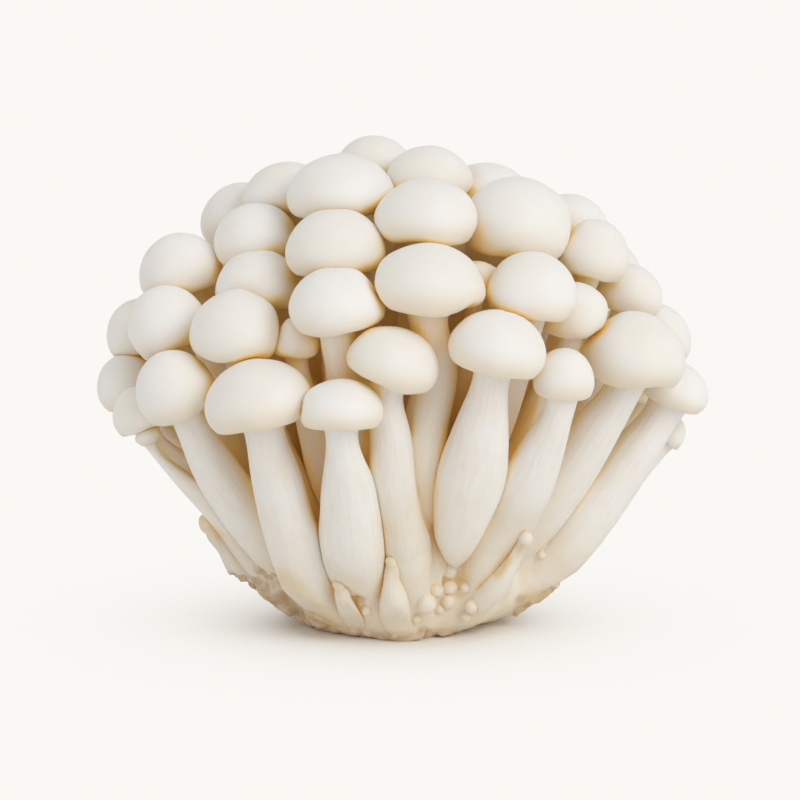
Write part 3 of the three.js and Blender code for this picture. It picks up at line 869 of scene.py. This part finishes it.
BLADES = 72                     # gills round a cap
WHITE = (0.910, 0.896, 0.878, 1)
IVORY = (0.896, 0.872, 0.834, 1)
CREAM = (0.860, 0.802, 0.705, 1)
# Painted crevice shade: the warm glow of light passed between flesh, laid on by openness
CREVICE_SHADE_HONEY = (0.990, 0.865, 0.640, 1)
CREVICE_SHADE_AMBER = (0.998, 0.765, 0.330, 1)
BUTTER = (0.830, 0.745, 0.610, 1)
STRAW = (0.740, 0.620, 0.430, 1)
OCHRE = (0.760, 0.580, 0.300, 1)
TAN = (0.600, 0.440, 0.270, 1)
UMBER = (0.200, 0.130, 0.070, 1)


STEM_CREVICE_SHADE = 0.85              # the painted crevice shade on stems, over that on caps
BUTT_CREVICE_SHADE = 0.45              # and of the butt
GLOW = {"Subsurface Radius": (1.0, 0.84, 0.66), "Subsurface Scale": 0.0016,
        "IOR": 1.38, "Specular IOR Level": 0.3}


def painted_crevice_glow(tree, base, openness_socket, most=1.0):
    """Painted shade and glow: flesh is painted honey and then amber where it lies close to more
    flesh, in place of the warm light that passes between flesh in the crevices.
    """
    shade = ranged(tree, openness_socket, 0.10, 0.54, most, 0)
    base = colour_mix(tree, shade, base, CREVICE_SHADE_HONEY)
    deep = ranged(tree, openness_socket, 0.10, 0.39, most, 0)
    return colour_mix(tree, deep, base, CREVICE_SHADE_AMBER)


def butt_colour(tree, place):
    """Cream tissue, mottled, and the colour of straw near the cut."""
    mottle = add(tree, "ShaderNodeTexNoise", {"Vector": place, "Scale": 260.0, "Detail": 5.0,
                                              "Roughness": 0.65}).outputs["Fac"]
    base = colour_mix(tree, ranged(tree, mottle, 0.35, 0.7, 0, 0.8), CREAM, BUTTER)
    level = add(tree, "ShaderNodeSeparateXYZ", {0: place}).outputs["Z"]
    return colour_mix(tree, ranged(tree, level, 0.0, 0.009, 0.7, 0), base, STRAW), mottle


def butt_material():
    """Matted mycelium, tan and pitted where grains of the growing medium cling to it."""
    material, tree = nodes_of("butt_mycelium")
    openness_socket = add(tree, "ShaderNodeAttribute", attribute_name="open").outputs["Fac"]
    medium = add(tree, "ShaderNodeAttribute", attribute_name="medium").outputs["Fac"]
    place = add(tree, "ShaderNodeTexCoord").outputs["Object"]
    base, mottle = butt_colour(tree, place)
    speck = add(tree, "ShaderNodeTexNoise", {"Vector": place, "Scale": 1100.0, "Detail": 3.0,
                                             "Roughness": 0.7}).outputs["Fac"]
    edge = add(tree, "ShaderNodeMath", {0: medium, 1: ranged(tree, mottle, 0.35, 0.6, 0.35, 1)},
               operation="MULTIPLY").outputs[0]
    base = colour_mix(tree, edge, base, TAN)
    pits = add(tree, "ShaderNodeMath", {0: ranged(tree, speck, 0.58, 0.72, 0, 0.7), 1: edge},
               operation="MULTIPLY").outputs[0]
    base = colour_mix(tree, pits, base, UMBER)
    # Only real ochre stains on the butt; on the caps the same channel also carries painted rim
    # shade
    stain_and_rim_shade = add(tree, "ShaderNodeAttribute", attribute_name="stain_and_rim_shade").outputs["Fac"]
    base = colour_mix(tree, stain_and_rim_shade, base, OCHRE)
    # Painted shade: honey and amber in the butt's crevices, by openness
    base = painted_crevice_glow(tree, base, openness_socket, BUTT_CREVICE_SHADE)
    bump = add(tree, "ShaderNodeBump", {"Height": speck, "Strength": 0.4, "Distance": 0.0003})
    shader = add(tree, "ShaderNodeBsdfPrincipled", {
        "Base Color": base, "Roughness": ranged(tree, mottle, 0.3, 0.7, 0.55, 0.8),
        "Normal": bump.outputs["Normal"], "Subsurface Weight": 0.1, **GLOW})
    add(tree, "ShaderNodeOutputMaterial", {"Surface": shader.outputs["BSDF"]})
    return material


def gill_waves(tree, grain):
    """The blades of the gills, 0 between them and 1 on their edges, counted round the stem."""
    parts = add(tree, "ShaderNodeSeparateXYZ", {0: grain})
    turn = add(tree, "ShaderNodeMath", {0: parts.outputs["Y"], 1: parts.outputs["X"]},
               operation="ARCTAN2").outputs[0]
    wave = add(tree, "ShaderNodeMath", {0: turn, 1: float(BLADES)}, operation="MULTIPLY").outputs[0]
    sine = add(tree, "ShaderNodeMath", {0: wave}, operation="SINE").outputs[0]
    return add(tree, "ShaderNodeMath", {0: sine, 1: 0.5, 2: 0.5},
               operation="MULTIPLY_ADD").outputs[0]


def flesh_material():
    material, tree = nodes_of("shimeji_flesh")
    attribute = {name: add(tree, "ShaderNodeAttribute", attribute_name=name)
                 for name in ("open", "stem", "along", "gills", "grain", "rooted", "stain_and_rim_shade", "tone")}
    place = add(tree, "ShaderNodeTexCoord").outputs["Object"]
    mottle = add(tree, "ShaderNodeTexNoise", {"Vector": place, "Scale": 120.0, "Detail": 3.0})
    toned = colour_mix(tree, attribute["tone"].outputs["Fac"], WHITE, IVORY)
    base = colour_mix(tree, ranged(tree, mottle.outputs["Fac"], 0.35, 0.7, 0, 0.35), toned, CREAM)
    low_stem = ranged(tree, attribute["along"].outputs["Fac"], 0.25, 1.0, 0, 0.85)
    base = colour_mix(tree, low_stem, base, CREAM)
    stretch = add(tree, "ShaderNodeVectorMath", {0: attribute["grain"].outputs["Vector"],
                                                 1: (6.0, 6.0, 1.6)}, operation="MULTIPLY")
    fibres = add(tree, "ShaderNodeTexNoise", {"Vector": stretch.outputs[0], "Scale": 1.0,
                                              "Detail": 4.0, "Roughness": 0.6})
    on_stem = attribute["stem"].outputs["Fac"]
    streak = ranged(tree, fibres.outputs["Fac"], 0.42, 0.7, 0, 0.3)
    streak = add(tree, "ShaderNodeMath", {0: streak, 1: on_stem}, operation="MULTIPLY").outputs[0]
    base = colour_mix(tree, streak, base, BUTTER)
    blades = gill_waves(tree, attribute["grain"].outputs["Vector"])
    on_gills = attribute["gills"].outputs["Fac"]
    # Painted shade in the troughs between the gill blades
    between = add(tree, "ShaderNodeMath", {0: ranged(tree, blades, 0.0, 0.6, 0.55, 0), 1: on_gills},
                  operation="MULTIPLY").outputs[0]
    base = colour_mix(tree, between, base, BUTTER)
    rooted = attribute["rooted"].outputs["Fac"]
    base = colour_mix(tree, rooted, base, butt_colour(tree, place)[0])
    # Real ochre stains, and on caps the painted rim shade
    base = colour_mix(tree, attribute["stain_and_rim_shade"].outputs["Fac"], base, OCHRE)
    # Painted shade: honey and amber in the crevices between caps and stems, by openness
    base = painted_crevice_glow(tree, base, attribute["open"].outputs["Fac"],
                  ranged(tree, on_stem, 0, 1, 1, STEM_CREVICE_SHADE))
    fine = add(tree, "ShaderNodeTexNoise", {"Vector": place, "Scale": 2600.0, "Detail": 2.0})
    skin_bump = add(tree, "ShaderNodeBump", {"Height": fine.outputs["Fac"], "Strength": 0.05,
                                             "Distance": 0.0002})
    fibre_height = add(tree, "ShaderNodeMath", {0: fibres.outputs["Fac"], 1: on_stem},
                       operation="MULTIPLY").outputs[0]
    fibre_bump = add(tree, "ShaderNodeBump", {"Height": fibre_height, "Strength": 0.4,
                                              "Distance": 0.0004,
                                              "Normal": skin_bump.outputs["Normal"]})
    blade_height = add(tree, "ShaderNodeMath", {0: blades, 1: on_gills},
                       operation="MULTIPLY").outputs[0]
    gill_bump = add(tree, "ShaderNodeBump", {"Height": blade_height, "Strength": 0.8,
                                             "Distance": 0.0006,
                                             "Normal": fibre_bump.outputs["Normal"]})
    rough = ranged(tree, mottle.outputs["Fac"], 0.3, 0.7, 0.46, 0.58)
    shader = add(tree, "ShaderNodeBsdfPrincipled", {
        "Base Color": base, "Roughness": rough, "Normal": gill_bump.outputs["Normal"],
        "Subsurface Weight": ranged(tree, rooted, 0.0, 1.0, 0.85, 0.1), **GLOW})
    add(tree, "ShaderNodeOutputMaterial", {"Surface": shader.outputs["BSDF"]})
    return material


# ---- The stage -------------------------------------------------------------------------------

BACKGROUND = (0.956, 0.939, 0.905, 1)
SHADOW_MIDDLE = (-0.001, -0.004, 0)
SHADOW_CORE = 0.019             # the floor's own shading is kept this far from the middle
SHADOW_FADE = 0.0126            # and fades out over this length


def floor_material():
    material, tree = nodes_of("floor")
    place = add(tree, "ShaderNodeTexCoord").outputs["Object"]
    away = add(tree, "ShaderNodeVectorMath", {0: place, 1: SHADOW_MIDDLE},
               operation="DISTANCE").outputs["Value"]
    camera = add(tree, "ShaderNodeLightPath").outputs["Is Camera Ray"]
    past = add(tree, "ShaderNodeMath", {0: away, 1: SHADOW_CORE}, operation="SUBTRACT",
               use_clamp=True)
    faded = add(tree, "ShaderNodeMath", {0: past.outputs[0], 1: -1 / SHADOW_FADE},
                operation="MULTIPLY")
    left = add(tree, "ShaderNodeMath", {0: faded.outputs[0]}, operation="EXPONENT")
    plain = add(tree, "ShaderNodeMath", {0: 1.0, 1: left.outputs[0]}, operation="SUBTRACT")
    seen = add(tree, "ShaderNodeMath", {0: plain.outputs[0], 1: camera},
               operation="MULTIPLY").outputs[0]
    cloth = add(tree, "ShaderNodeBsdfDiffuse", {"Color": FLOOR_COLOUR})
    glow = add(tree, "ShaderNodeEmission", {"Color": BACKGROUND})
    mixed = add(tree, "ShaderNodeMixShader", {0: seen, 1: cloth.outputs[0], 2: glow.outputs[0]})
    add(tree, "ShaderNodeOutputMaterial", {"Surface": mixed.outputs[0]})
    return material


FLOOR_COLOUR = (0.93, 0.93, 0.93, 1)
WORLD_LIGHT = (0.65, 0.645, 0.63, 1)
CAMERA_HEIGHT = 8               # degrees above the level
CAMERA_DISTANCE = 0.6
LENS = 150
KEY_POWER = 3.35
FILL_POWER = 0.45


def build_stage():
    bpy.ops.mesh.primitive_plane_add(size=6)
    floor = bpy.context.object
    floor.name = "floor"
    floor.data.materials.append(floor_material())
    world = bpy.data.worlds.new("studio")
    bpy.context.scene.world = world
    world.use_nodes = True
    tree = world.node_tree
    tree.nodes.clear()
    camera = add(tree, "ShaderNodeLightPath").outputs["Is Camera Ray"]
    colour = colour_mix(tree, camera, WORLD_LIGHT, BACKGROUND)
    sky = add(tree, "ShaderNodeBackground", {"Color": colour})
    add(tree, "ShaderNodeOutputWorld", {"Surface": sky.outputs[0]})


def soft_box(name, place, aim, size, power):
    light = bpy.data.lights.new(name, "AREA")
    light.shape = "SQUARE"
    light.size = size
    light.energy = power
    lamp = bpy.data.objects.new(name, light)
    lamp.location = place
    lamp.rotation_euler = (Vector(aim) - Vector(place)).to_track_quat("-Z", "Y").to_euler()
    bpy.context.scene.collection.objects.link(lamp)


def build_camera():
    """From the front, a little above, through a long lens."""
    target = Vector((-0.5 * MM, 0, 40 * MM))
    elevation = math.radians(CAMERA_HEIGHT)
    away = Vector((0, -math.cos(elevation), math.sin(elevation))) * CAMERA_DISTANCE
    data = bpy.data.cameras.new("camera")
    data.lens = LENS
    data.sensor_width = 36
    camera = bpy.data.objects.new("camera", data)
    camera.location = target + away
    camera.rotation_euler = (-away).to_track_quat("-Z", "Y").to_euler()
    bpy.context.scene.collection.objects.link(camera)
    bpy.context.scene.camera = camera


# ---- Putting it together ---------------------------------------------------------------------

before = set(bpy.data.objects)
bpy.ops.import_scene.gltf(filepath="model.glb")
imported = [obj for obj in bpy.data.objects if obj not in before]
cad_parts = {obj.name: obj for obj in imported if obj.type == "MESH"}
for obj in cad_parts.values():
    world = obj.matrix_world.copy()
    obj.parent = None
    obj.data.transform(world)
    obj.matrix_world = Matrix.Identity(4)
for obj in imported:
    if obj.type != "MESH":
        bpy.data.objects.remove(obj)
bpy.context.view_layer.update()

names = sorted(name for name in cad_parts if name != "butt")
skins = [grow_mushroom(name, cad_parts[name], seed) for seed, name in enumerate(names)]
settle([skin for skin in skins if not skin.name.startswith("pin")], 2)   # pins stay put
for skin in skins:
    skin.places = undercut(skin.places)
    skin.places[..., 2] = np.maximum(skin.places[..., 2], LOWEST)
    skin.foot = undercut(skin.foot)
    skin.foot[2] = max(skin.foot[2], LOWEST)
butt = build_butt(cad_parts["butt"], skins, np.random.default_rng(7))
crowd = tree_of([skin.shape() for skin in skins] + [mesh_shape(butt.data)])
find_openness(skins, crowd)
find_rooted(skins, tree_of([mesh_shape(butt.data)]))
open_piece(butt, crowd)

flesh = flesh_material()
for skin in skins:
    piece = build_mushroom(skin)
    piece.data.materials.append(flesh)
    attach(piece, "root")
    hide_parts(skin.name)

butt.data.materials.append(butt_material())
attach(butt, "root")
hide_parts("butt")

build_stage()
soft_box("key", (0.6, -0.65, 0.6), (0, 0, 0.04), 0.6, KEY_POWER)
soft_box("fill", (-0.7, -0.5, 0.3), (0, 0, 0.04), 0.5, FILL_POWER)
build_camera()
bpy.context.scene.view_settings.view_transform = "Standard"
bpy.context.scene.cycles.diffuse_bounces = 10   # pale flesh passes light on deep into the bunch
